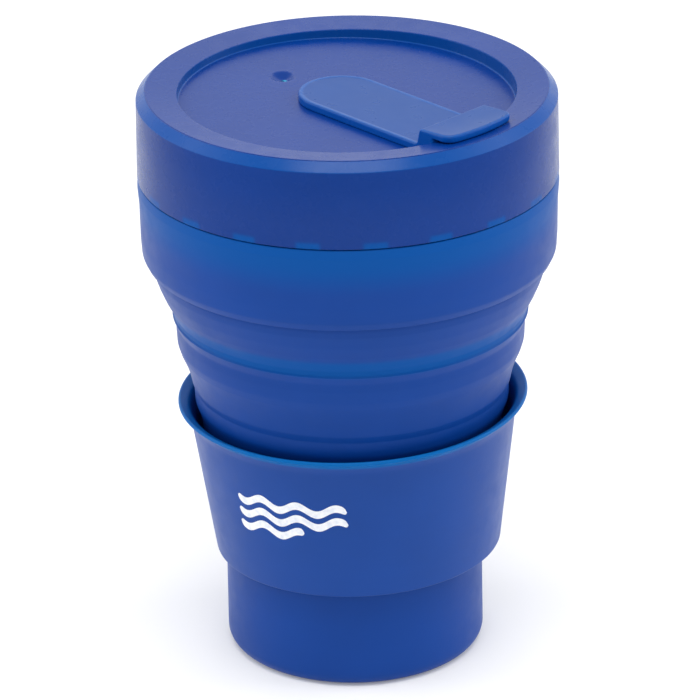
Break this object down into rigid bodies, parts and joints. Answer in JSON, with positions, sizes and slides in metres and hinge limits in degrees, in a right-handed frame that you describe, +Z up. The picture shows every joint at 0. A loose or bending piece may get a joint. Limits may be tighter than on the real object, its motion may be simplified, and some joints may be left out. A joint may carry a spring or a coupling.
{
  "type": "collapsible travel cup",
  "caption": "Stepped silicone travel cup that folds down into itself, with a rigid grip sleeve and a press-on lid with a flexible sip stopper.",
  "frame": {"origin": "centre of the foot, on the surface the cup stands on", "axes": "+Z up along the cup's axis; the sip hole and pull tab lie towards +X and -Y, at 45 degrees"},
  "size_m": [0.0924, 0.0924, 0.1338],
  "materials": {
    "cup_silicone": "matte moulded silicone",
    "sleeve_plastic": "satin moulded polypropylene",
    "lid_plastic": "satin moulded polypropylene",
    "stopper_rubber": "smooth moulded silicone"
  },
  "bodies": {
    "base": {"base_cup": "cup_silicone", "base_fold_web": "cup_silicone"},
    "lower_step": {"lower_tier": "cup_silicone", "lower_fold_web": "cup_silicone"},
    "middle_step": {"middle_tier": "cup_silicone", "upper_fold_web": "cup_silicone"},
    "rim": {"rim_band": "cup_silicone"},
    "sleeve": {"heat_sleeve": "sleeve_plastic"},
    "lid": {"lid_shell": "lid_plastic", "stopper_anchor": "stopper_rubber", "stopper_hinge_web": "stopper_rubber"},
    "stopper": {"stopper_strap": "stopper_rubber", "stopper_pull_tab": "stopper_rubber", "stopper_sip_plug": "stopper_rubber"}
  },
  "joints": [
    {"name": "lower_fold", "type": "slide", "parent": "base", "child": "lower_step", "axis": [0, 0, 1], "range_m": [-0.0226, 0], "deforming": ["base_fold_web"]},
    {"name": "middle_fold", "type": "slide", "parent": "lower_step", "child": "middle_step", "axis": [0, 0, 1], "range_m": [-0.0107, 0], "deforming": ["lower_fold_web"]},
    {"name": "rim_fold", "type": "slide", "parent": "middle_step", "child": "rim", "axis": [0, 0, 1], "range_m": [-0.027, 0], "deforming": ["upper_fold_web"]},
    {"name": "sleeve_drop", "type": "slide", "parent": "base", "child": "sleeve", "axis": [0, 0, 1], "range_m": [-0.0226, 0]},
    {"name": "lid_lift", "type": "slide", "parent": "rim", "child": "lid", "axis": [0, 0, 1], "range_m": [0, 0.06]},
    {"name": "stopper_hinge", "type": "hinge", "parent": "lid", "child": "stopper", "pos_m": [0.00057, -0.00057, 0.12975], "axis": [-0.7071, -0.7071, 0], "range_deg": [0, 140], "deforming": ["stopper_hinge_web"]}
  ],
  "couplings": [
    {"joint": "middle_fold", "follows": "rim_fold", "ratio": 0.396},
    {"joint": "lower_fold", "follows": "rim_fold", "ratio": 0.837},
    {"joint": "sleeve_drop", "follows": "rim_fold", "ratio": 0.837}
  ]
}
